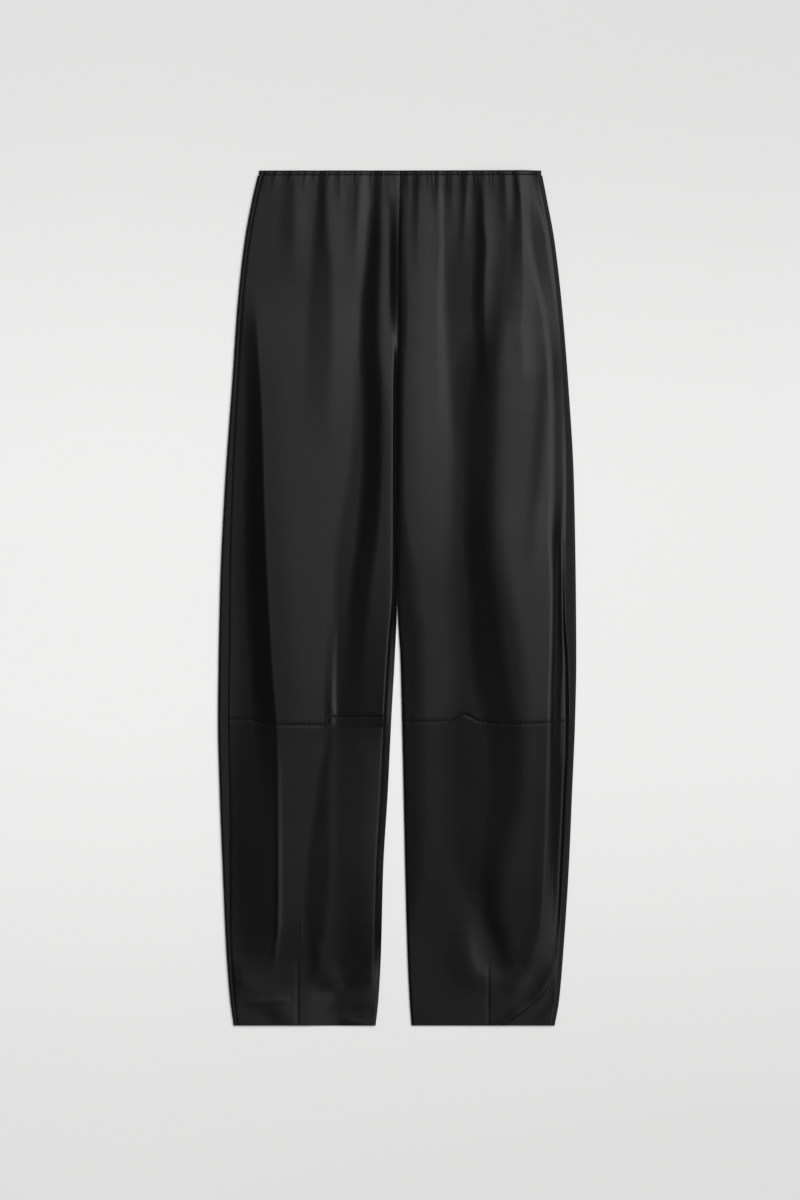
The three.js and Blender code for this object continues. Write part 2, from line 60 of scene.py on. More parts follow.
# %% Driving sizes
back_low, back_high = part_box("back_upper_right")
hem_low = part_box("back_lower_right")[0]
waist_low, waist_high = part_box("waist_casing_back")
WAIST_Y = waist_high.y / MM
LENGTH = WAIST_Y - hem_low.y / MM
EDGE_ROUND = (back_high.z - back_low.z) / MM / 2
CASING_HEIGHT = (waist_high.y - waist_low.y) / MM
CLOTH = 0.9
FRONT_BASE = 3.3
SEAM_GAP = 0.12
KNEE_DROP = 675
KNEE_REACH = 90
CROWN = 1.0
SEAM_WINDOW = 4.5
INNER_ROLL = 0.8
FLAT_SEAM = 0.1
FLAT_TO = 200
FLAT_RUN = 45
SIDE_ROLL = 0.35
KNEE_ROLL = 0.55
ROLL_WIDTH = 1.3
PUCKER = 0.13
PUCKER_REACH = 7
LEVEL_FROM = 780
LEVEL_RUN = 220
LEVEL_SHARE = {"right": 0.8, "left": 0.0}
print(f"length {LENGTH:.0f} mm, edge roll {EDGE_ROUND:.1f} mm, casing {CASING_HEIGHT:.1f} mm")

# %% [markdown]
# The outline. A pattern maker would give the width of each piece at a few heights and draw a smooth curve
# through them. That is what this table does: each row is a drop below the waist edge, and its columns are
# where the outer and inner edges lie across and how far in the side seam runs from the outer edge.

# %% Outline and knee seam
OUTLINE_COLUMNS = (
    "drop", "right_edge", "right_inner", "left_inner", "left_edge", "right_seam_in", "left_seam_in",
)
OUTLINE_ROWS = [
    (0, -169.5, 3.4, 3.4, 177, 5, 5), (36, -178, 2.4, 2.4, 184, 5, 5), (85, -187, 1.2, 1.2, 193, 5, 5),
    (160, -195.5, 0.3, 0.3, 201.8, 5, 5), (260, -202.5, 0, 0, 210, 5.5, 6),
    (380, -211, 0, 0, 217, 8, 9), (500, -217, 0, 0, 219.3, 10.5, 12.5),
    (530, -217.8, -0.1, 0.2, 219.6, 11.2, 12.5), (600, -219.2, -3, 4.2, 220, 12, 9),
    (675, -220, -7, 6.1, 218.5, 12, 6), (760, -218, -11.3, 8, 215, 11.5, 6),
    (860, -214.1, -17.2, 10.1, 210.6, 8, 6), (960, -209.6, -19.8, 12.8, 204, 5, 5),
    (1018, -205, -23, 15.5, 199, 4.5, 4.5), (1050, -200.6, -26.4, 17.8, 193.5, 4.5, 4.5),
]
KNEE_COLUMNS = ("across", "drop")
KNEE_ROWS = [
    (-220, 674), (-187, 674), (-150, 681), (-94, 681), (-76, 671), (-8, 671), (8, 677), (60, 676),
    (80, 668), (100, 676), (137, 680), (184, 678), (220, 676),
]


def named(columns, rows):
    """A table as one array of numbers for each named column."""
    return dict(zip(columns, np.array(rows, float).T))


def along(table, column, at, key="drop"):
    """The column read at any place between the rows, on a smooth curve that never passes beyond a row's
    value: a cubic through each pair of rows, whose slope at a row is the harmonic mean of the slopes on
    its two sides, or zero where they disagree in sign."""
    knots, values = table[key], table[column]
    spans = np.diff(knots)
    chords = np.diff(values) / spans
    agree = chords[:-1] * chords[1:] > 0
    total = np.where(agree, chords[:-1] + chords[1:], 1)
    inner = np.where(agree, 2 * chords[:-1] * chords[1:] / total, 0)
    slopes = np.concatenate([chords[:1], inner, chords[-1:]])
    k = np.clip(np.searchsorted(knots, at, "right") - 1, 0, len(knots) - 2)
    t = np.clip((at - knots[k]) / spans[k], 0, 1)
    rest = 1 - t
    ends = (1 + 2 * t) * rest**2 * values[k] + t**2 * (3 - 2 * t) * values[k + 1]
    return ends + spans[k] * t * rest * (rest * slopes[k] - t * slopes[k + 1])


OUTLINE = named(OUTLINE_COLUMNS, OUTLINE_ROWS)
KNEE = named(KNEE_COLUMNS, KNEE_ROWS)
LEGS = {
    "right": {"side": -1, "edge": "right_edge", "inner": "right_inner", "seam_in": "right_seam_in"},
    "left": {"side": 1, "edge": "left_edge", "inner": "left_inner", "seam_in": "left_seam_in"},
}
print("outline rows:", len(OUTLINE_ROWS), "knee seam rows:", len(KNEE_ROWS))

# %% [markdown]
# The folds. Satin laid on a table makes long planes that meet at creases. On both legs the cloth climbs
# from left to right in steps: each step is a flank with a crest at its right end, and the cloth stays up
# beyond it until the whole leg comes down at its right side. A ridge is a step that comes down again by
# itself. A row of a fold's table is a drop, where the crest lies across, its height, the width of the
# flank that rises to it and, for a ridge, of the one that falls from it. The radii round the crest and
# the foot of the flank. Wide flanks make the broad dark bands of the picture, and small crest radii its
# thin bright lines.

# %% The long folds of each leg
STEP_COLUMNS = ("drop", "across", "height", "rise")
RIDGE_COLUMNS = ("drop", "across", "height", "rise", "fall")
END_COLUMNS = ("drop", "across", "fall")
LOFT = 0.75


def step(crest, foot, rows):
    """One step: its table, with the radii that round its crest and its foot."""
    return {"table": named(STEP_COLUMNS, rows), "crest": crest, "foot": foot}


def ridge(crest, foot, rows):
    """One ridge: its table, with the radii that round its crest and its feet."""
    return {"table": named(RIDGE_COLUMNS, rows), "crest": crest, "foot": foot}


RIGHT_STEPS = {
    "side": step(1.5, 11, [
        (140, -177, 0, 14), (175, -174, 0.8, 17), (208, -172, 1.8, 20), (282, -167.5, 3, 24),
        (331, -165.8, 3.6, 27), (404, -164, 4.2, 31), (527, -159, 4.8, 37), (626, -153, 5.4, 43),
        (699, -147.5, 7, 51), (748, -146.3, 8, 55), (847, -146, 7.6, 56), (920, -146.5, 6, 52),
        (950, -150, 3.8, 44), (976, -156, 1.4, 34), (1000, -162, 0, 30),
    ]),
    "side_steep": step(1.5, 6, [
        (165, -174, 0, 10), (208, -172, 1.2, 12), (282, -167.5, 3.2, 15), (340, -165.5, 5, 17),
        (404, -164, 6.5, 19), (527, -159, 8, 22), (626, -153, 7.5, 23), (680, -148.5, 5, 24),
        (748, -146.3, 1.5, 18), (800, -146, 0, 16),
    ]),
    "shoulder": step(10, 3, [
        (200, -145, 0, 24), (300, -143, 0.5, 22), (404, -140, 0.6, 22), (527, -134, 0.9, 24),
        (626, -126, 1, 26), (672, -123, 0.8, 26), (700, -123, 0.2, 26), (760, -123, 0, 26),
    ]),
    "middle": step(4, 5, [
        (0, -20, 0.9, 9), (36, -20, 1, 10), (85, -19, 1.6, 13), (122, -20, 2, 18), (159, -20, 2.4, 25),
        (196, -18.5, 2.8, 27), (220, -18, 3, 30), (257, -14.5, 3.6, 36), (306, -10, 4.4, 43),
        (343, -9, 4.6, 46), (380, -9, 4.8, 51), (417, -9, 5, 58), (454, -9, 5.4, 64), (491, -9, 6, 67),
        (515, -9, 6.8, 67), (540, -9, 7.6, 67), (576, -10, 9, 66), (640, -13, 10, 62),
        (668, -14, 10, 61), (685, -20, 5, 54), (748, -24, 2, 50), (850, -30, 1.5, 44),
        (950, -38, 1, 40), (1030, -44, 0, 40),
    ]),
    "middle_steep": step(4, 5, [
        (0, -21, 1.2, 9), (36, -21, 1.6, 9), (61, -22, 3, 12), (85, -22, 3.8, 14),
        (122, -22.5, 4.4, 16), (159, -24.5, 5, 17), (196, -25, 5, 18), (220, -24.5, 5.4, 18.5),
        (257, -21.5, 5.9, 20), (306, -20, 6.1, 20), (343, -20, 6.2, 20), (380, -21, 6.2, 20),
        (417, -23, 6.2, 21), (454, -26, 5.6, 22), (491, -31, 5, 22), (515, -34, 4.2, 22),
        (540, -36, 3.6, 22), (576, -40, 2.4, 20), (640, -44, 1, 20), (672, -46, 0.6, 20),
        (700, -46, 0, 20),
    ]),
    "shin": step(4, 4, [
        (676, -78, 0, 8), (699, -79, 0.9, 8), (748, -84, 1.6, 12), (797, -84, 2.3, 18),
        (847, -83, 3, 26), (896, -86, 3, 26), (932, -90, 2.6, 20), (957, -94, 2, 14), (985, -98, 1, 10),
        (1008, -100, 0, 10),
    ]),
    "calf": step(8, 8, [
        (676, -46, 0.8, 34), (748, -38, 2, 40), (850, -38, 2, 42), (920, -40, 1.1, 40),
        (1000, -44, 0.3, 40), (1040, -44, 0, 40),
    ]),
}
RIGHT_RIDGES = {
    "hem_fall": ridge(8, 8, [
        (860, -64, 0, 44, 40), (940, -64, -1.3, 44, 40), (990, -68, -1.6, 40, 38),
        (1020, -78, -2, 34, 42), (1052, -82, -2.2, 32, 42),
    ]),
    "hip": ridge(5, 5, [
        (0, -88, 1.4, 7, 52), (24, -88, 2, 8, 56), (61, -87, 2.5, 12, 60), (90, -85, 2.6, 17, 60),
        (122, -81, 2.6, 24, 58), (196, -80, 2.2, 30, 50), (240, -82, 1.6, 30, 50),
        (290, -84, 0.9, 30, 50), (350, -86, 0, 30, 50),
    ]),
    "pocket": ridge(4, 5, [
        (0, -126, 0.8, 12, 14), (30, -125, 1, 14, 16), (61, -126, 1.2, 17, 18),
        (110, -127, 0.4, 17, 20), (140, -127, 0, 17, 20),
    ]),
    "knee": ridge(1.5, 2, [
        (540, -76, 0, 9, 4), (620, -79, 0.7, 9, 4), (665, -80, 1.2, 9, 5), (685, -81, 0, 9, 5),
    ]),
}
RIGHT_END = [
    (0, -12, 12), (36, -10.5, 11), (61, -9, 9.5), (122, -8.5, 9), (160, -8.5, 8.5), (196, -8, 7.5),
    (208, -5, 3.8), (220, -4, 2.8), (257, -4.4, 3.2), (306, -4.4, 3.2), (380, -4.4, 3.2),
    (454, -4.4, 3.2), (515, -4.8, 3.4), (576, -9.5, 6.5), (640, -14, 8.5), (672, -15.5, 8.5),
    (700, -17, 8.5), (760, -20, 8.5), (850, -25, 8), (950, -28.5, 8), (1050, -35, 8),
]
LEFT_STEPS = {
    "inner": step(9, 3, [
        (0, 8, 0.3, 8), (36, 8, 0.9, 9), (61, 8, 1.7, 10), (90, 8, 2.2, 11), (122, 8.5, 2.4, 10),
        (160, 9.5, 2.6, 11), (200, 9, 2.4, 9), (233, 7.5, 1.9, 7.5), (306, 6.5, 1.5, 6.5),
        (404, 7, 1.4, 7), (454, 11, 1.8, 11), (490, 18, 2.4, 18), (527, 21, 2.9, 20),
        (576, 29, 3.4, 25), (626, 29, 3.4, 24), (700, 29, 2.6, 22), (797, 28, 2, 18),
        (860, 28, 1.6, 16), (900, 22, 0.8, 10), (940, 20, 0, 8),
    ]),
    "hip_rise": step(6, 6, [
        (0, 168, 5.6, 150), (61, 168, 5.2, 150), (122, 168, 3.4, 150), (190, 168, 0, 150),
    ]),
    "hollow": step(3, 14, [
        (0, 54, -0.6, 26), (61, 55, -1.2, 28), (122, 58, -2.2, 34), (160, 60, -2.8, 36),
        (233, 62, -3.6, 42), (270, 65, -3.5, 44), (306, 67, -3.3, 46), (343, 69, -2.8, 46),
        (404, 68, -2, 46), (454, 66, -1, 44), (520, 64, 0, 44),
    ]),
    "hollow_edge": step(1.5, 1.5, [
        (16, 55, 0, 4), (36, 57, -0.7, 4.5), (68, 57, -0.8, 5), (90, 58, -0.9, 6), (122, 57, -1, 6),
        (160, 56, -1.1, 7), (196, 57, -1, 8), (240, 60, -0.7, 11), (290, 62, -0.4, 12),
        (340, 64, 0, 12),
    ]),
    "first": step(6, 6, [
        (0, 98, 0.6, 12), (36, 98, 0.7, 14), (90, 100, 1.4, 30), (122, 100, 2.2, 38),
        (160, 100, 2.4, 38), (196, 102, 2.2, 38), (233, 106, 1.8, 38), (282, 110, 1, 38),
        (340, 112, 0, 38),
    ]),
    "first_steep": step(2, 4, [
        (0, 104, 0.4, 8), (24, 104, 1, 8), (36, 105, 1.5, 9), (68, 106, 1.9, 10), (90, 108, 2.4, 12),
        (122, 107, 2.3, 12), (160, 106, 2.2, 12), (196, 107, 1.6, 12), (233, 110, 0.9, 12),
        (270, 112, 0, 12),
    ]),
    "middle": step(8, 13, [
        (0, 142, 0.2, 16), (61, 142, 0.9, 18), (122, 139, 1.6, 20), (147, 136, 2, 22),
        (184, 133, 3.4, 28), (220, 129, 5.2, 44), (257, 126, 6.6, 56), (306, 126, 6.8, 58),
        (343, 126, 6.8, 56), (404, 125, 6.8, 55), (454, 128, 7, 60), (527, 140, 8, 74),
        (576, 150, 8.3, 80), (626, 156, 8.6, 84), (699, 158, 8.6, 96), (748, 157, 8, 92),
        (797, 150, 6.4, 84), (847, 138, 5, 66), (896, 130, 2.8, 32), (934, 136, 2, 22),
        (958, 141, 1.4, 20), (990, 144, 0, 18),
    ]),
    "middle_steep": step(7, 6, [
        (170, 130, 0, 20), (200, 127, 1.4, 22), (220, 125, 2.2, 24), (257, 120, 3.4, 26),
        (306, 118, 3.6, 30), (343, 116, 3.8, 30), (404, 113, 4.2, 27), (454, 114, 5.6, 28),
        (527, 122, 6, 32), (576, 128, 6, 36), (626, 136, 5.4, 40), (672, 146, 4.4, 40),
        (699, 150, 3.4, 36), (748, 150, 3, 36), (797, 140, 2.2, 28), (847, 128, 1.8, 22),
        (886, 121, 2.3, 15), (913, 121, 2, 14), (934, 128, 1.6, 14), (958, 135, 1.1, 13),
        (976, 138, 0.5, 12), (996, 140, 0, 12),
    ]),
    "second_falls": step(6, 6, [
        (80, 174, 0, 32), (122, 174, -1.6, 32), (160, 174, -2.2, 32), (196, 168, -1.8, 30),
        (233, 168, -1.4, 30), (300, 168, 0, 30),
    ]),
}
LEFT_RIDGES = {
    "first_top": ridge(3, 5, [
        (0, 105, 0.3, 6, 10), (36, 106, 0.6, 7, 11), (68, 107, 0.7, 8, 12), (90, 109, 0.8, 9, 12),
        (140, 107, 0.8, 10, 10), (180, 107, 0.5, 12, 9), (225, 108, 0, 12, 9),
    ]),
    "hip": ridge(2, 4, [
        (0, 152, 0, 6, 5), (20, 152, 0.8, 7, 5), (36, 152.5, 1.1, 9, 6), (61, 153, 1.4, 12, 7),
        (85, 153.5, 1.6, 14, 8), (122, 154, 1.3, 14, 12), (160, 154, 1.2, 18, 14),
        (196, 152, 1, 14, 14), (233, 154, 0.7, 14, 14), (262, 153, 0, 14, 14),
    ]),
    "minor": ridge(5, 5, [
        (200, 188, 0, 12, 10), (233, 187, 0.7, 13, 11), (306, 183, 1.1, 14, 14),
        (343, 180, 1.2, 14, 16), (380, 177, 1, 13, 16), (417, 172, 0.7, 13, 16),
        (454, 169, 0.5, 13, 16), (490, 168, 0, 13, 16),
    ]),
    "crevice": ridge(2, 3, [
        (430, 202, 0, 5, 7), (480, 201, -1.4, 5, 7), (527, 201, -2.4, 5, 7), (600, 205, -3, 5, 7),
        (700, 206, -3, 5, 7), (760, 203.5, -3, 5, 7), (850, 199.5, -2.4, 5, 7), (900, 197, -1.6, 5, 7),
        (950, 193, 0, 5, 7),
    ]),
    "patch": ridge(6, 6, [
        (900, 78, 0, 24, 20), (932, 84, 0.3, 26, 20), (957, 88, 0.6, 28, 22), (982, 90, 0.6, 28, 26),
        (1000, 94, 0.3, 26, 24), (1015, 98, 0, 26, 24),
    ]),
}
LEFT_END = [
    (0, 158, 13), (36, 158, 19), (85, 162, 22), (122, 168, 21), (160, 177, 18), (196, 183, 16),
    (250, 188, 15), (306, 190, 15), (380, 190, 15), (454, 189, 13), (490, 191, 11), (527, 192, 10),
    (626, 190, 10), (669, 189, 10.5), (748, 187.5, 12), (850, 184, 12), (900, 181, 15),
    (932, 178.5, 16), (957, 172.5, 20), (982, 165, 24), (1006, 151, 30), (1030, 135, 36),
]
CENTRE_COLUMNS = ("drop", "height", "kept")
CENTRE_ROWS = [
    (0, 1.6, 1.6), (24, 1.9, 1.9), (36, 2.7, 2.2), (61, 4.7, 3), (85, 6.3, 3.6), (122, 7.4, 4),
    (160, 8, 3.6), (190, 7.9, 2.8), (220, 7.2, 1.8), (257, 6.1, 0.8), (306, 4.8, 0.3), (380, 3.2, 0),
    (450, 1.6, 0), (515, 0, 0),
]
EASE_TO = 175
EASE_RUN = 165
CENTRE = named(CENTRE_COLUMNS, CENTRE_ROWS)
FOLDS = {
    "right": {"steps": RIGHT_STEPS, "ridges": RIGHT_RIDGES, "end": named(END_COLUMNS, RIGHT_END)},
    "left": {"steps": LEFT_STEPS, "ridges": LEFT_RIDGES, "end": named(END_COLUMNS, LEFT_END)},
}
END_CREST = {"right": 2.5, "left": 5}
END_FOOT = 3
print("folds:", {name: len(f["steps"]) + len(f["ridges"]) for name, f in FOLDS.items()})


# %% [markdown]
# Gathers and short creases. The elastic pinches the cloth into small ridges of uneven size: each row
# below is one of them, with the width of its two flanks, how far down the cloth it runs and how far it
# drifts sideways in a hundred millimetres. Short creases, at the knee and above the hem, are soft ridges
# along a bent line. Where the height is below zero they are troughs. Left and right are seen along the
# line from its first point on.

# %% Gathers and creases
GATHER_COLUMNS = ("across", "height", "rise", "fall", "length", "drift")
GATHER_ROWS = {
    "right": [
        (-158, 0.3, 7, 12, 40, -16), (-147, 0.35, 6, 6, 34, -20), (-112, 0.3, 7, 10, 60, -4),
        (-70, 0.55, 6, 9, 56, 2), (-61, 0.3, 5, 6, 40, 0), (-48, 0.8, 14, 12, 170, -2),
        (-42, 0.7, 8, 9, 110, -8), (-31, 0.3, 5, 6, 40, -6), (-9, 0.25, 4, 6, 60, 0),
        (-2, 0.3, 4, 5, 34, 0),
    ],
    "left": [
        (16, 0.3, 6, 5, 70, -6), (27, 0.8, 8, 18, 150, -2), (40, 0.3, 5, 6, 40, 0),
        (51, 0.9, 8, 6, 70, -3), (67, 0.5, 7, 8, 75, 0), (86, 0.8, 7, 7, 130, -5),
        (98, 0.3, 5, 4, 30, 6), (119, 0.3, 6, 7, 50, 6), (132, 0.9, 10, 9, 90, 4),
        (149, 0.9, 9, 6, 80, 6), (168, 0.4, 7, 7, 60, 12), (176, 0.4, 5, 5, 70, 22),
    ],
}
GATHERS = {name: named(GATHER_COLUMNS, rows) for name, rows in GATHER_ROWS.items()}
PINCHES = 27
PINCH_DEPTH = 0.26
PINCH_LENGTHS = np.array([14, 30, 20, 11, 26, 17, 36, 22], float)
PINCH_JITTER = 0.3

CREASE_COLUMNS = ("across", "drop", "height")
CREASE_BLEND = 4.0


def crease(left, right, rows):
    """One crease: its line with a height at each point, and how wide it is on its left and on its right."""
    return {"line": named(CREASE_COLUMNS, rows), "left": left, "right": right}


RIGHT_CREASES = {
    "side_crest": crease(3.5, 3, [
        (-150, 690, 0), (-147, 740, 0.3), (-146, 850, 0.5), (-146.5, 930, 0.5), (-149.5, 958, 0.35),
        (-153, 982, 0),
    ]),
    "side_toe": crease(30, 12, [
        (-188, 962, 0), (-188, 984, 0.6), (-188, 998, 0.9), (-188, 1010, 0.4), (-188, 1020, 0),
    ]),
    "hem_edge": crease(3.5, 3.5, [
        (-197, 1022, 0.1), (-180, 1022, 0.35), (-160, 1021, 0.5), (-140, 1019, 0.5), (-130, 1018, 0),
    ]),
    "hem_wedge": crease(12, 12, [
        (-160, 1016, 0), (-150, 1023, 0.3), (-141, 1031, 0.5), (-133, 1044, 0.4), (-129, 1051, 0.2),
    ]),
    "hem_hollow": crease(8, 8, [
        (-196, 1036, 0), (-180, 1034, -0.2), (-162, 1039, -0.3), (-148, 1048, -0.1),
    ]),
    "dart": crease(0.9, 3.4, [
        (-121.5, 960, 0), (-121.5, 985, -0.2), (-121.5, 1020, -0.26), (-121.5, 1051, -0.26),
    ]),
    "dart_top_outer": crease(1, 1, [(-122.8, 910, 0), (-122.8, 920, 0.1), (-122.6, 936, 0)]),
    "dart_top_inner": crease(1, 1, [
        (-118, 910, 0), (-118, 925, 0.14), (-118, 942, 0.08), (-118.5, 965, 0),
    ]),
    "pouch": crease(14, 13, [
        (-98, 925, 0), (-94, 955, 0.25), (-90, 975, 0.45), (-84, 990, 0.5), (-76, 998, 0.4),
        (-68, 996, 0),
    ]),
    "pouch_spot": crease(4, 4, [(-99, 940, 0), (-98, 953, 0.15), (-97, 966, 0)]),
    "pouch_edge": crease(7, 9, [
        (-104, 1002, 0), (-92, 1010, -0.3), (-78, 1009, -0.5), (-64, 997, -0.6), (-50, 980, -0.4),
        (-36, 957, -0.2), (-24, 932, 0),
    ]),
    "hem_corner": crease(5, 8, [
        (-82, 1050, 0), (-71, 1038, -0.5), (-54, 1031, -0.7), (-38, 1030, -0.4), (-28, 1028, 0),
    ]),
    "hem_lip": crease(2, 2, [(-70, 1046, 0), (-58, 1044, 0.5), (-46, 1046, 0.4), (-34, 1049, 0)]),
    "knee_pinch": crease(1.5, 1.5, [(-78, 655, 0), (-77, 668, 0.4), (-72, 672, 0.2), (-66, 671, 0)]),
}
LEFT_CREASES = {
    "side_crest": crease(3, 11, [
        (188, 640, 0), (186, 700, 0.25), (184, 780, 0.4), (181, 846, 0.45), (178.5, 899, 0.5),
        (176, 934, 0.5), (170, 963, 0.4), (160, 990, 0.3), (146, 1011, 0.2), (122, 1028, 0),
    ]),
    "side_crest_soft": crease(9, 14, [
        (177, 890, 0), (171, 935, 0.2), (160, 975, 0.5), (146, 1000, 0.8), (112, 1026, 0),
    ]),
    "corner": crease(2.4, 8, [
        (197, 966, 0), (191, 985, 0.8), (178, 1010, 1.2), (164, 1023, 0.8), (146, 1036, 1.2),
        (130, 1048, 0.6),
    ]),
    "corner_hollow": crease(8, 7, [
        (197, 1000, 0), (186, 1021, -0.5), (168, 1038, -0.6), (148, 1050, -0.3),
    ]),
    "patch": crease(11, 24, [
        (94, 900, 0), (88, 922, 0.2), (86, 945, 0.65), (88, 966, 0.95), (96, 984, 1), (112, 993, 0.8),
        (130, 992, 0.5), (144, 985, 0.2), (152, 976, 0),
    ]),
    "patch_edge": crease(8, 10, [
        (80, 984, 0), (92, 1002, -0.1), (108, 1010, -0.25), (132, 1007, -0.4), (154, 988, 0),
    ]),
    "dart": crease(0.9, 3.4, [
        (112.6, 960, 0), (112.7, 985, -0.2), (112.8, 1020, -0.26), (112.8, 1051, -0.26),
    ]),
    "pocket": crease(2, 3, [(172, 30, 0), (176, 45, 0.4), (181, 62, 0.4), (184, 78, 0)]),
    "pocket_low": crease(1.8, 2.2, [(184, 70, 0), (187, 85, 0.3), (190, 100, 0)]),
    "side_slack": crease(5, 8, [(196, 560, 0), (201, 610, 0.5), (203, 640, 0)]),
}
BACK_CREASES = {
    "seat": crease(14, 14, [(60, 60, 0), (70, 160, 0.6), (78, 300, 0.4), (84, 420, 0)]),
    "thigh": crease(16, 16, [
        (130, 120, 0), (136, 260, 0.6), (128, 420, 0.7), (118, 560, 0.4), (112, 640, 0),
    ]),
    "knee": crease(12, 12, [(40, 600, 0), (80, 640, 0.5), (120, 652, 0.5), (160, 630, 0)]),
    "calf": crease(14, 14, [(70, 700, 0), (84, 780, 0.6), (96, 880, 0.6), (100, 980, 0)]),
    "shin": crease(12, 12, [(140, 720, 0), (146, 820, 0.5), (140, 930, 0.4), (132, 1000, 0)]),
}
CREASES = {"right": RIGHT_CREASES, "left": LEFT_CREASES}
counts = {name: len(rows) for name, rows in GATHER_ROWS.items()}
print("gathers:", counts, "and", 2 * PINCHES, "small pinches")
counts = {name: len(rows) for name, rows in CREASES.items()}
print("creases:", counts, "and", len(BACK_CREASES), "on each back")

# %% [markdown]
# The formulas. A hinge is a ramp whose corner is rounded by a short parabola, and a flank is two hinges.
# Every fold, gather and crease is made of flanks or of bells, and they are simply added up.

# %% Heights of the cloth
NARROW_SHARE = 0.48
GATHER_FOOT = 3
GATHER_CREST = 2
PINCH_WIDTH_BEAT = 4.1
PINCH_WIDTH_START = 0.7
PINCH_DEPTH_BEAT = 2.4
PINCH_LEAST = 0.6
PINCH_ROUNDNESS = 1.3
PINCH_LENGTH_SHIFT = 3
PINCH_TURN = {"right": 0.9, "left": 0.0}
EASE_ROUNDING = EASE_RUN / 8
CROWN_LOSS = 0.8
PUCKER_WAVE = 0.47
PUCKER_WANDER = 2.4
PUCKER_WANDER_WAVE = 0.13
PUCKER_SWELL_WAVE = 0.057


def smooth(t):
    """0 below 0, 1 above 1, and an s-curve between."""
    t = np.clip(t, 0, 1)
    return t * t * (3 - 2 * t)


def hinge(t, radius):
    """0 on the left, t on the right, and a parabola over one radius either side of the corner."""
    return np.where(t <= -radius, 0, np.where(t >= radius, t, (t + radius) ** 2 / (4 * radius)))


def climb(away, width, foot, crest):
    """A straight flank from 0 up to 1 that ends where away is 0, rounded at its foot and at its crest.
    The radii shrink where the flank is narrow."""
    narrow = NARROW_SHARE * width
    return (hinge(away + width, np.minimum(foot, narrow)) - hinge(away, np.minimum(crest, narrow))) / width


def fold_lift(one, across, drop):
    """A fold's height: its flank's climb, less its fall if it is a ridge, and nothing outside its table."""
    table = one["table"]
    away, rise = across - along(table, "across", drop), along(table, "rise", drop)
    shape = climb(away, rise, one["foot"], one["crest"])
    if "fall" in table:
        fall = along(table, "fall", drop)
        shape = shape - climb(away - fall, fall, one["crest"], one["foot"])
    inside = (drop >= table["drop"][0]) & (drop <= table["drop"][-1])
    return np.where(inside, LOFT * along(table, "height", drop) * shape, 0)


def folds_lift(folds, across, drop):
    """All folds of one kind added up, the steps or the ridges of a leg."""
    return sum(fold_lift(one, across, drop) for one in folds.values())


def gathers_lift(name, across, drop):
    """The gathers of a leg added up: each climbs to its crest, falls again and fades out down the cloth."""
    table = GATHERS[name]
    drop = np.broadcast_to(drop, across.shape)[..., None]
    away = across[..., None] - table["across"] - table["drift"] * drop / 100
    rise, fall = table["rise"], table["fall"]
    shape = climb(away, rise, GATHER_FOOT, GATHER_CREST)
    shape = shape - climb(away - fall, fall, GATHER_CREST, GATHER_FOOT)
    return np.sum(table["height"] * shape * (1 - smooth(drop / table["length"])), axis=-1)


def pinch_lift(share, drop, turn):
    """Small pinches: rounded ridges with sharp valleys, the size of a sine across each, uneven in width,
    depth and length. turn shifts the pattern, so that no two panels agree."""
    k = np.arange(PINCHES + 1)
    jitter = PINCH_JITTER * np.sin(PINCH_WIDTH_BEAT * k + PINCH_WIDTH_START)
    edges = (k + jitter * (k > 0) * (k < PINCHES)) / PINCHES
    k = np.clip(np.searchsorted(edges, share, "right") - 1, 0, PINCHES - 1)
    t = np.clip((share - edges[k]) / (edges[k + 1] - edges[k]), 0, 1)
    strength = PINCH_LEAST + (1 - PINCH_LEAST) * np.sin(PINCH_DEPTH_BEAT * k + turn)
    shift = int(PINCH_LENGTH_SHIFT * turn)
    fade = 1 - smooth(drop / PINCH_LENGTHS[(k + shift) % len(PINCH_LENGTHS)])
    return PINCH_DEPTH * strength * fade * np.sin(np.pi * t) ** PINCH_ROUNDNESS


def crease_lift(one, across, drop):
    """A soft ridge along a bent line: the height of the nearest point of the line, times a bell of the
    distance to it, whose width is the line's own on that side. Near a bend the stretches that are about
    as near share."""
    line = one["line"]
    ax, ay = line["across"][:-1], line["drop"][:-1]
    run_x, run_y = np.diff(line["across"]), np.diff(line["drop"])
    dx, dy = across[..., None] - ax, drop[..., None] - ay
    t = np.clip((dx * run_x + dy * run_y) / (run_x**2 + run_y**2), 0, 1)
    gap = np.hypot(dx - t * run_x, dy - t * run_y)
    least = gap.min(axis=-1, keepdims=True)
    nearness = np.exp(-(((gap - least) / CREASE_BLEND) ** 2))
    share = nearness / nearness.sum(axis=-1, keepdims=True)
    height = np.sum(share * (line["height"][:-1] + t * np.diff(line["height"])), axis=-1)
    width = np.sum(share * np.where(run_x * dy < run_y * dx, one["left"], one["right"]), axis=-1)
    return height * np.exp(-((least[..., 0] / width) ** 2))


def creases_lift(creases, across, drop):
    """All creases of a table added up."""
    across, drop = np.broadcast_arrays(across, drop)
    return sum(crease_lift(one, across, drop) for one in creases.values())


def seam_across(leg, drop):
    """The side seam: the outer edge, moved in by the seam's distance."""
    return along(OUTLINE, leg["edge"], drop) - leg["side"] * along(OUTLINE, leg["seam_in"], drop)


def ended(name, across, drop):
    """0 over the folds of a leg, and 1 beyond the flank that brings them down at its right side."""
    end = FOLDS[name]["end"]
    fall = along(end, "fall", drop)
    return climb(across - along(end, "across", drop) - fall, fall, END_CREST[name], END_FOOT)


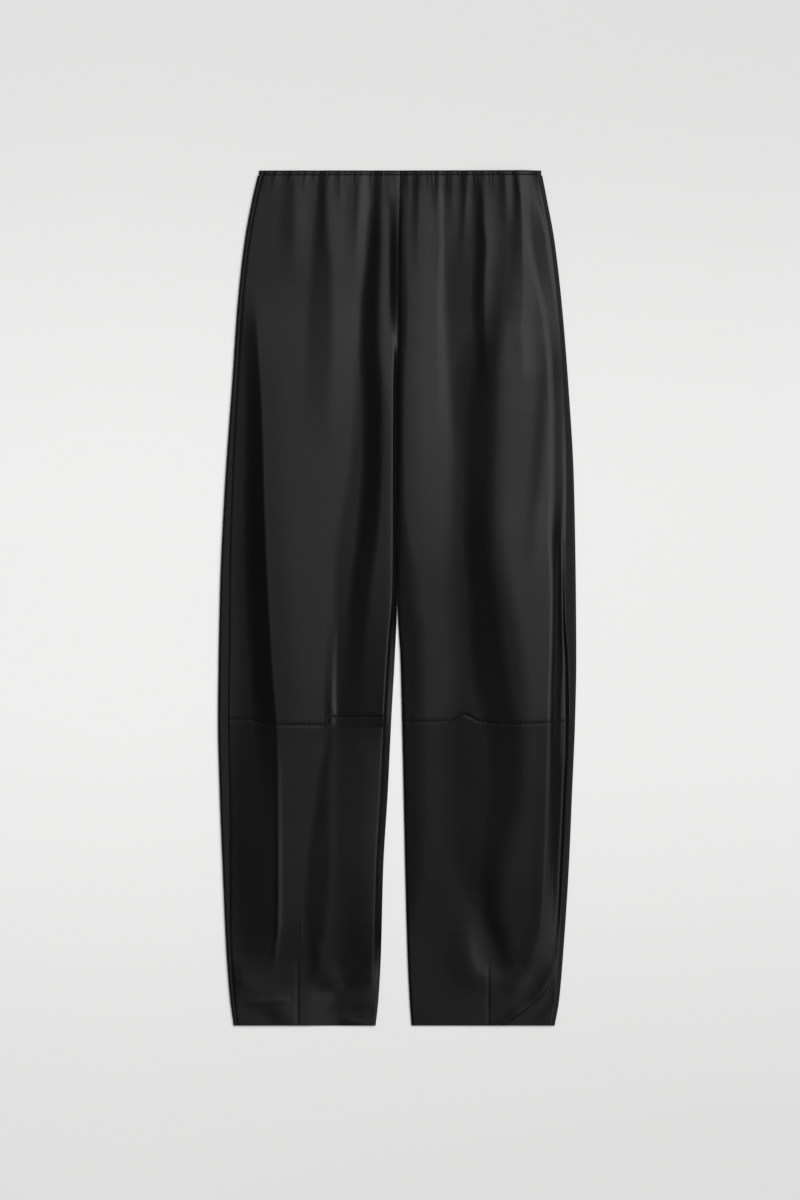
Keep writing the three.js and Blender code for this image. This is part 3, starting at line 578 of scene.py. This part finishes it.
def carried(name, across, drop):
    """The height that both legs share at the centre seam above the crotch. It comes up where the right
    leg's folds end. On the left leg a part of it is kept up to the end of the folds, and the rest eases
    down slowly."""
    height, kept = along(CENTRE, "height", drop), along(CENTRE, "kept", drop)
    if name == "right":
        return height * ended(name, across, drop)
    eased = 1 - climb(across - EASE_TO, EASE_RUN, EASE_ROUNDING, EASE_ROUNDING)
    return kept * (1 - ended(name, across, drop)) + (height - kept) * eased


def front_top(name, across, drop):
    """The top of a front panel: a straight base from the inner edge to the side seam, a low crown, the
    steps (held down where they start), the ridges, gathers, pinches and creases (held down near both
    seams), what is carried at the centre, and a roll down into the seams at its edges."""
    leg = LEGS[name]
    inner, seam = along(OUTLINE, leg["inner"], drop), seam_across(leg, drop)
    share = np.clip((across - inner) / (seam - inner), 0, 1)
    lower = smooth((drop - LEVEL_FROM) / LEVEL_RUN)
    base = FRONT_BASE + (2 * EDGE_ROUND - FRONT_BASE) * (share + LEVEL_SHARE[name] * lower * (1 - share))
    crown = 4 * CROWN * share * (1 - share) * (1 - CROWN_LOSS * lower)
    near = np.minimum(np.abs(across - inner), np.abs(across - seam))
    start = np.abs(across - (seam if name == "right" else inner))
    steps = folds_lift(FOLDS[name]["steps"], across, drop) * (1 - ended(name, across, drop))
    steps = steps * smooth(start / SEAM_WINDOW)
    small = gathers_lift(name, across, drop) + pinch_lift(share, drop, PINCH_TURN[name])
    small = small + creases_lift(CREASES[name], across, drop)
    small = small + folds_lift(FOLDS[name]["ridges"], across, drop)
    knee = np.exp(-np.abs(drop - along(KNEE, "drop", across, "across")) / PUCKER_REACH)
    swell = 0.5 + 0.5 * np.sin(across * PUCKER_SWELL_WAVE + 1)
    wander = PUCKER_WANDER * np.sin(across * PUCKER_WANDER_WAVE)
    pucker = PUCKER * swell * knee * np.sin(across * PUCKER_WAVE + wander) ** 2
    joined = FLAT_SEAM + (1 - FLAT_SEAM) * smooth((drop - FLAT_TO) / FLAT_RUN)
    deep = np.where(share < 0.5, INNER_ROLL * joined, SIDE_ROLL)
    roll = deep * np.exp(-((near / ROLL_WIDTH) ** 2))
    small = smooth(near / SEAM_WINDOW) * small
    return base + crown + steps + small + carried(name, across, drop) + pucker - roll


# %% [markdown]
# From formula to mesh. A panel is two skins over one grid, the outer one and one wall below it, closed all
# round by a rim. The rows of the grid run across the cloth and bend near the knee to follow the seam there.

# %% Shells
COLUMN_STEPS = {"upper": 1.05, "lower": 1.0}
ROW_STEPS = {"upper": 3.2, "lower": 2.4}
PANEL_WIDTH = 210
SHARP = math.radians(62)


def row_drop(nominal, across):
    """A row's drop at a place across: its own, plus the knee seam's wander, which fades above and below."""
    near = 1 - smooth(np.abs(nominal - KNEE_DROP) / KNEE_REACH)
    return nominal + near * (along(KNEE, "drop", across, "across") - KNEE_DROP)


def place(across, drop, height):
    """Points in metres from places in millimetres, with rows of the grid first."""
    across, drop, height = np.broadcast_arrays(across, drop, height)
    return np.stack([across * MM, (WAIST_Y - drop) * MM, height * MM], axis=-1)


def grid_faces(rows, columns, start=0, flip=False):
    """The quads of a grid of points, stored row by row from the index start."""
    k = start + np.arange(rows * columns).reshape(rows, columns)
    a, b, c, d = k[:-1, :-1], k[1:, :-1], k[1:, 1:], k[:-1, 1:]
    quads = np.stack([a, b, c, d], axis=-1).reshape(-1, 4)
    return quads[:, ::-1] if flip else quads


def rim_faces(rows, columns):
    """The quads that join the edges of two stacked grids, all round."""
    k = np.arange(rows * columns).reshape(rows, columns)
    loop = np.concatenate([k[0, :], k[1:, -1], k[-1, -2::-1], k[-2:0:-1, 0]])
    after = np.roll(loop, -1)
    below = rows * columns
    return np.stack([loop, after, after + below, loop + below], axis=-1)


def cloth_object(name, outer, inner, flat):
    """A closed wall of cloth from its two skins, with the flat pattern in metres as its UV map."""
    rows, columns = outer.shape[:2]
    points = np.concatenate([outer.reshape(-1, 3), inner.reshape(-1, 3)])
    faces = np.concatenate([
        grid_faces(rows, columns),
        grid_faces(rows, columns, rows * columns, True),
        rim_faces(rows, columns),
    ])
    mesh = bpy.data.meshes.new(name)
    mesh.from_pydata(points, [], faces.tolist())
    uv = np.concatenate([flat.reshape(-1, 2), flat.reshape(-1, 2)])
    layer = mesh.uv_layers.new(name="Cloth")
    layer.data.foreach_set("uv", uv[faces.reshape(-1)].astype(np.float32).reshape(-1))
    mesh.shade_smooth()
    mesh.set_sharp_from_angle(angle=SHARP)
    mesh.update()
    piece = bpy.data.objects.new(name, mesh)
    bpy.context.scene.collection.objects.link(piece)
    print(f"{name}: {len(faces) * 2} triangles")
    return piece


def sloped(height, across, drop):
    """How much more a wall measures straight down than square to its slope."""
    down = np.gradient(height, axis=0) / np.gradient(drop, axis=0)
    over = np.gradient(height, axis=1) / np.gradient(across, axis=1)
    return np.hypot(1, np.hypot(down, over))


def even(start, end, step):
    """Evenly spaced numbers from start to end, about step apart."""
    return np.linspace(start, end, max(2, round(abs(end - start) / step) + 1))


# %% [markdown]
# The front panels. They carry nearly everything the eye sees: the gathers, the long folds and the seams.

# %% Front panels
UPPER_SPAN = (CASING_HEIGHT + SEAM_GAP, KNEE_DROP - SEAM_GAP / 2)
LOWER_SPAN = (KNEE_DROP + SEAM_GAP / 2, LENGTH)


def front_panel(name, leg_name, part, span):
    """A front panel between two drops: the front's height over a grid from inner edge to side seam."""
    leg = LEGS[leg_name]
    nominal = even(*span, ROW_STEPS[part])[:, None]
    inner = along(OUTLINE, leg["inner"], nominal) + leg["side"] * SEAM_GAP / 2
    seam = seam_across(leg, nominal) - leg["side"] * SEAM_GAP
    share = even(0, 1, COLUMN_STEPS[part] / PANEL_WIDTH)[None, :]
    across = inner + (seam - inner) * share
    if leg["side"] < 0:
        across = across[:, ::-1]
    drop = row_drop(nominal, across)
    top = front_top(leg_name, across, drop)
    for end in (nominal[0, 0], nominal[-1, 0]):
        at_knee = abs(end - KNEE_DROP) < SEAM_GAP
        top = top - at_knee * KNEE_ROLL * np.exp(-(((nominal - end) / ROLL_WIDTH) ** 2))
    under = top - CLOTH * sloped(top, across, drop)
    flat = np.stack(np.broadcast_arrays(across * MM, drop * MM), axis=-1)
    return cloth_object(name, place(across, drop, top), place(across, drop, under), flat)


pieces = {}
for leg_name in LEGS:
    for part, span in (("upper", UPPER_SPAN), ("lower", LOWER_SPAN)):
        node = f"front_{part}_{leg_name}"
        pieces[node] = front_panel(f"satin_{node}", leg_name, part, span)

# %% [markdown]
# The back panels lie on the table. Each turns round the outer edge of its leg and comes over to the side
# seam, so a narrow strip of it shows from above. Its section is a flat run, a half circle and the strip.

# %% Back panels
BACK_STEP = 4.0
BACK_WIDTH = 200
TURN_STEPS = 10
STRIP_STEPS = 6


def back_section(leg, nominal, offset):
    """Across and height of a back panel's section, moved in from its outer face by the offset."""
    edge = along(OUTLINE, leg["edge"], nominal)
    inner = along(OUTLINE, leg["inner"], nominal) + leg["side"] * SEAM_GAP / 2
    turn = edge - leg["side"] * EDGE_ROUND
    flat = inner + (turn - inner) * even(0, 1, BACK_STEP / BACK_WIDTH)[None, :-1]
    angle = np.linspace(0, math.pi, TURN_STEPS + 1)[None, :]
    round_across = turn + leg["side"] * (EDGE_ROUND - offset) * np.sin(angle)
    round_height = EDGE_ROUND - (EDGE_ROUND - offset) * np.cos(angle)
    strip = turn + (seam_across(leg, nominal) - turn) * np.linspace(0, 1, STRIP_STEPS + 1)[None, 1:]
    across = np.hstack([flat, round_across, strip])
    height = np.hstack([
        np.full_like(flat, offset), np.broadcast_to(round_height, round_across.shape),
        np.full_like(strip, 2 * EDGE_ROUND - offset),
    ])
    return (across, height) if leg["side"] < 0 else (across[:, ::-1], height[:, ::-1])


def back_panel(name, leg_name, span):
    """A back panel between two drops: its section at every row."""
    leg = LEGS[leg_name]
    nominal = even(*span, BACK_STEP)[:, None]
    across, height = back_section(leg, nominal, 0)
    across_in, height_in = back_section(leg, nominal, CLOTH)
    drop = row_drop(nominal, across)
    lift = creases_lift(BACK_CREASES, np.abs(across), drop) * (height < EDGE_ROUND)
    height, height_in = height + lift, height_in + lift
    steps = np.hypot(np.diff(across, axis=1), np.diff(height, axis=1))
    run = np.hstack([np.zeros_like(nominal), np.cumsum(steps, axis=1)])
    flat = np.stack([run * MM, drop * MM], axis=-1)
    outer = place(across, drop, height)
    inside = place(across_in, row_drop(nominal, across_in), height_in)
    return cloth_object(name, outer, inside, flat)


for leg_name in LEGS:
    for part, span in (("upper", UPPER_SPAN), ("lower", LOWER_SPAN)):
        node = f"back_{part}_{leg_name}"
        pieces[node] = back_panel(f"satin_{node}", leg_name, span)

# %% [markdown]
# The waist casing: a tube of satin only six millimetres deep round a narrow elastic, ruched by it.

# %% Waist casing
CASING_STEP = 0.8
CASING_RUN = 170
CASING_SWELL = 0.35
CASING_FLATNESS = 4
CASING_LIP = 0.5
CASING_LIP_POWER = 6
CASING_ROWS = 9


def casing_front(name):
    """The front run: the front's height at the waist, swollen over the elastic, lower at its edge."""
    halves = []
    for leg_name, leg in LEGS.items():
        inner = along(OUTLINE, leg["inner"], 0)
        seam = seam_across(leg, 0) - leg["side"] * SEAM_GAP
        share = even(0, 1, CASING_STEP / CASING_RUN)
        half = inner + (seam - inner) * share
        height = front_top(leg_name, half, np.zeros_like(half))
        halves.append((half[::-1], height[::-1]) if leg["side"] < 0 else (half[1:], height[1:]))
    across = np.concatenate([half[0] for half in halves])[None, :]
    base = np.concatenate([half[1] for half in halves])[None, :]
    t = np.linspace(0, 1, CASING_ROWS)[:, None]
    swell = CASING_SWELL * (1 - (2 * t - 1) ** CASING_FLATNESS)
    top = base + (swell - CASING_LIP * (1 - t) ** CASING_LIP_POWER)
    drop = t * CASING_HEIGHT + 0 * across
    across = across + 0 * t
    flat = np.stack([across * MM, drop * MM], axis=-1)
    return cloth_object(name, place(across, drop, top), place(across, drop, base - CLOTH), flat)


def casing_back(name):
    """The back run, turned round both sides."""
    nominal = np.zeros((CASING_ROWS, 1))
    drop = np.linspace(0, CASING_HEIGHT, CASING_ROWS)[:, None]
    skins = []
    for offset in (0, CLOTH):
        right = back_section(LEGS["right"], nominal, offset)
        left = back_section(LEGS["left"], nominal, offset)
        across = np.hstack([left[0][:, :-1], right[0][:, 1:]])
        height = np.hstack([left[1][:, :-1], right[1][:, 1:]])
        skins.append(place(across, drop, height))
    flat = np.stack([across * MM, drop * MM + 0 * across], axis=-1)
    return cloth_object(name, skins[0], skins[1], flat)


pieces["waist_casing_front"] = casing_front("satin_waist_casing_front")
pieces["waist_casing_back"] = casing_back("satin_waist_casing_back")


# %% [markdown]
# The satin. Its floats run down the leg, so it is smooth one way and finely ribbed the other. Nearly all of
# its light is a soft reflection: the dye itself is close to black. A small class lets sockets be added and
# multiplied like numbers, and one method adds every other node.

# %% Shader maths
X_OUT = 0
Y_OUT = 1
OBJECT_OUT = 3
MIX_A = 6
MIX_B = 7
MIX_OUT = 2


class Wire:
    """A socket that can be used in arithmetic: each operator adds its Math node."""

    def __init__(self, tree, socket):
        self.tree, self.socket = tree, socket

    def math(self, operation, *others):
        """This value and the others through one Math node."""
        return self.tree.node("ShaderNodeMath", {"operation": operation}, dict(enumerate((self, *others))))

    def __add__(self, other):
        return self.math("ADD", other)

    __radd__ = __add__

    def __mul__(self, other):
        return self.math("MULTIPLY", other)

    __rmul__ = __mul__

    def __sub__(self, other):
        return self.math("SUBTRACT", other)

    def __rsub__(self, other):
        return (self * -1) + other


class Finish:
    """A material and the one method that adds any node to it."""

    def __init__(self, name):
        self.material = bpy.data.materials.new(name)
        self.material.use_nodes = True
        self.material.node_tree.nodes.clear()

    def node(self, kind, settings=None, inputs=None, output=0):
        """A node of this type, with its settings made first and then its sockets given values or links."""
        made = self.material.node_tree.nodes.new(kind)
        for key, value in (settings or {}).items():
            setattr(made, key, value)
        for key, value in (inputs or {}).items():
            if isinstance(value, Wire):
                self.material.node_tree.links.new(value.socket, made.inputs[key])
            else:
                made.inputs[key].default_value = value
        return Wire(self, made.outputs[output]) if made.outputs else made


# %% [markdown]
# The finishes of the cloth: the same satin everywhere, a little duller on the lower legs, where the
# picture has it duller, and a row of stitches along the lower edge of the casing.

# %% Satin
DYE = (0.0025, 0.0025, 0.0026)
CLOUD_STRETCH = (1.0, 0.35, 1.0)
CLOUD_SCALE = 34.0
CLOUD_DETAIL = 3.0
CLOUD_GLOSS = 0.09
CRINKLE_SCALE = 150.0
CRINKLE_DETAIL = 2.0
CRINKLE_DEPTH = 0.6
RIB_SCALE = 420.0
RIB_WANDER = 0.6
RIB_DEPTH = 0.15
# Painted light on the lower front panels: grey in the dye, full down to the first drop and gone at the
# second, in metres.
PAINTED_LIGHT_FROM = 0.70
PAINTED_LIGHT_TO = 0.95
RELIEF_STRENGTH = 0.5
RELIEF_DEPTH = 0.0001
STITCH_DROP = CASING_HEIGHT - 1.0
STITCH_WIDTH = 0.45
STITCH_PITCH = 2.6
STITCH_SHARE = 0.8
STITCH_DEPTH = 4


def satin(name, roughness, level, painted_knee_light=0.0, stitched=False):
    """Satin: near-black dye, a broad soft gloss, fine ribs of the weave, fine crinkles, and slow clouds in
    the gloss that run down the cloth. The knee amount adds a little grey to the dye at the knee, which is
    gone at the hem: painted light, drawing the lower leg lighter near the knee, where more light falls,
    than at the hem. stitched presses a row of stitches into the lower edge of the casing."""
    finish = Finish(name)
    uv = finish.node("ShaderNodeUVMap", {"uv_map": "Cloth"})
    stretched = finish.node("ShaderNodeMapping", None, {"Vector": uv, "Scale": CLOUD_STRETCH})
    clouds = finish.node("ShaderNodeTexNoise", None, {
        "Vector": stretched, "Scale": CLOUD_SCALE, "Detail": CLOUD_DETAIL,
    })
    crinkle = finish.node("ShaderNodeTexNoise", None, {
        "Vector": uv, "Scale": CRINKLE_SCALE, "Detail": CRINKLE_DETAIL,
    })
    ribs = finish.node("ShaderNodeTexWave", {"bands_direction": "X"}, {
        "Vector": uv, "Scale": RIB_SCALE, "Distortion": RIB_WANDER,
    })
    gloss = roughness + (clouds - 0.5) * CLOUD_GLOSS
    down = finish.node("ShaderNodeSeparateXYZ", None, {"Vector": uv}, Y_OUT)
    # Painted light: the dye is greyed near the knee and plain at the hem, so the lower leg is drawn lighter
    # where more light falls.
    painted_light_fade = finish.node("ShaderNodeMapRange", {"interpolation_type": "SMOOTHSTEP"}, {
        "Value": down, "From Min": PAINTED_LIGHT_FROM, "From Max": PAINTED_LIGHT_TO, "To Min": 0.0, "To Max": 1.0,
    })
    grey = [value + painted_knee_light for value in DYE]
    colour = finish.node("ShaderNodeMix", {"data_type": "RGBA"}, {
        "Factor": painted_light_fade, MIX_A: (*grey, 1.0), MIX_B: (*DYE, 1.0),
    }, MIX_OUT)
    relief = ribs * RIB_DEPTH + crinkle * CRINKLE_DEPTH
    if stitched:
        beside = (down - STITCH_DROP * MM).math("ABSOLUTE").math("LESS_THAN", STITCH_WIDTH / 2 * MM)
        across = finish.node("ShaderNodeSeparateXYZ", None, {"Vector": uv}, X_OUT)
        dash = (across * (1 / (STITCH_PITCH * MM))).math("FRACT").math("LESS_THAN", STITCH_SHARE)
        relief = relief - beside * dash * STITCH_DEPTH
    bump = finish.node("ShaderNodeBump", None, {
        "Height": relief, "Strength": RELIEF_STRENGTH, "Distance": RELIEF_DEPTH,
    })
    shader = finish.node("ShaderNodeBsdfPrincipled", None, {
        "Base Color": colour, "Roughness": gloss, "Normal": bump, "Specular IOR Level": level,
    })
    finish.node("ShaderNodeOutputMaterial", None, {"Surface": shader})
    return finish.material


SATIN = {
    "casing": satin("satin_casing", 0.4, 0.13, stitched=True),
    "front_upper": satin("satin_front_upper", 0.37, 0.15),
    # The lower front panels carry painted light: a little grey in the dye near the knee.
    "front_lower_right": satin("satin_front_lower_right", 0.37, 0.108, painted_knee_light=0.0014),
    "front_lower_left": satin("satin_front_lower_left", 0.37, 0.093, painted_knee_light=0.0018),
    "back_upper_right": satin("satin_back_right", 0.38, 0.115),
    "back_lower_right": satin("satin_back_lower_right", 0.38, 0.115),
    "back": satin("satin_back_left", 0.38, 0.09),
}
for node, piece in pieces.items():
    cloth = next(finish for key, finish in SATIN.items() if key in node)
    piece.data.materials.append(cloth)
print("materials:", len(bpy.data.materials))

# %% [markdown]
# The table, the light and the camera. The camera looks straight down. One large soft light stands above and
# to the right, so planes that tilt to the right are bright and those that tilt to the left go dark.

# %% Table, light and camera
FRAME_HEIGHT = 1.4731
LENS = 200
SENSOR = 36
CAMERA_AT = (0.0034, -0.0024)
FRAMED_HEIGHT = 0.006
PAPER = (0.80, 0.797, 0.79)
PAPER_ENDS = 0.868
PAPER_RIGHT = 0.955
PAPER_ROUGHNESS = 0.9
PAPER_GLOSS = 0.2
ENDS_FROM = 0.1
ENDS_TO = 0.75
RIGHT_FROM = -0.35
RIGHT_TO = 0.45
TABLE_HALF = 6.0
LIGHT_AWAY = 30.0
KEY_TILT = (25.0, 12.0)
KEY_SPREAD = (44.0, 46.0)
KEY_POWER = 12200
SKY = 0.1
SKY_COLOUR = (0.94, 0.97, 1.0, 1.0)


def floor_finish():
    """Matt paper. It is lit a little less towards top, bottom and right, and its colour says so."""
    finish = Finish("paper")
    at = finish.node("ShaderNodeTexCoord", output=OBJECT_OUT)
    up = finish.node("ShaderNodeSeparateXYZ", None, {"Vector": at}, Y_OUT)
    right = finish.node("ShaderNodeSeparateXYZ", None, {"Vector": at}, X_OUT)
    away = finish.node("ShaderNodeMapRange", {"interpolation_type": "SMOOTHSTEP"}, {
        "Value": up.math("ABSOLUTE"), "From Min": ENDS_FROM, "From Max": ENDS_TO,
        "To Min": 1.0, "To Max": PAPER_ENDS,
    })
    aside = finish.node("ShaderNodeMapRange", None, {
        "Value": right, "From Min": RIGHT_FROM, "From Max": RIGHT_TO, "To Min": 1.0, "To Max": PAPER_RIGHT,
    })
    shade = 1.0 - away * aside
    colour = finish.node("ShaderNodeMix", {"data_type": "RGBA"}, {
        "Factor": shade, MIX_A: (*PAPER, 1.0), MIX_B: (0.0, 0.0, 0.0, 1.0),
    }, MIX_OUT)
    shader = finish.node("ShaderNodeBsdfPrincipled", None, {
        "Base Color": colour, "Roughness": PAPER_ROUGHNESS, "Specular IOR Level": PAPER_GLOSS,
    })
    finish.node("ShaderNodeOutputMaterial", None, {"Surface": shader})
    return finish.material


floor_mesh = bpy.data.meshes.new("table")
corners = [(TABLE_HALF * x, TABLE_HALF * y, 0) for x, y in ((-1, -1), (1, -1), (1, 1), (-1, 1))]
floor_mesh.from_pydata(corners, [], [(0, 1, 2, 3)])
floor = bpy.data.objects.new("table", floor_mesh)
floor_mesh.materials.append(floor_finish())
bpy.context.scene.collection.objects.link(floor)

camera_data = bpy.data.cameras.new("camera")
camera_data.lens = LENS
camera_data.sensor_width = SENSOR
camera = bpy.data.objects.new("camera", camera_data)
camera.location = (*CAMERA_AT, FRAME_HEIGHT * LENS / SENSOR + FRAMED_HEIGHT)
bpy.context.scene.collection.objects.link(camera)
bpy.context.scene.camera = camera


def soft_light(name, tilt, spread, away, power):
    """A rectangular light far away: tilt says how many degrees it stands off the zenith to the right and
    towards the top, and spread how many degrees it spans each way."""
    right, up = (math.tan(math.radians(angle)) for angle in tilt)
    data = bpy.data.lights.new(name, "AREA")
    data.shape = "RECTANGLE"
    data.size, data.size_y = (2 * away * math.tan(math.radians(angle / 2)) for angle in spread)
    data.energy = power
    light = bpy.data.objects.new(name, data)
    direction = np.array([right, up, 1.0]) / math.hypot(right, up, 1.0)
    light.location = (away * direction).tolist()
    light.rotation_euler = light.location.to_track_quat("Z", "Y").to_euler()
    bpy.context.scene.collection.objects.link(light)


soft_light("key", KEY_TILT, KEY_SPREAD, LIGHT_AWAY, KEY_POWER)
world = bpy.data.worlds.new("studio")
world.use_nodes = True
sky = world.node_tree.nodes["Background"]
sky.inputs["Color"].default_value = SKY_COLOUR
sky.inputs["Strength"].default_value = SKY
bpy.context.scene.world = world
bpy.context.scene.view_settings.view_transform = "Standard"

# %% [markdown]
# Every piece rides on the part's one body and stands for its solid, which is hidden.

# %% Bodies and hidden solids
for node, piece in pieces.items():
    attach(piece, "root")
    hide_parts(node)
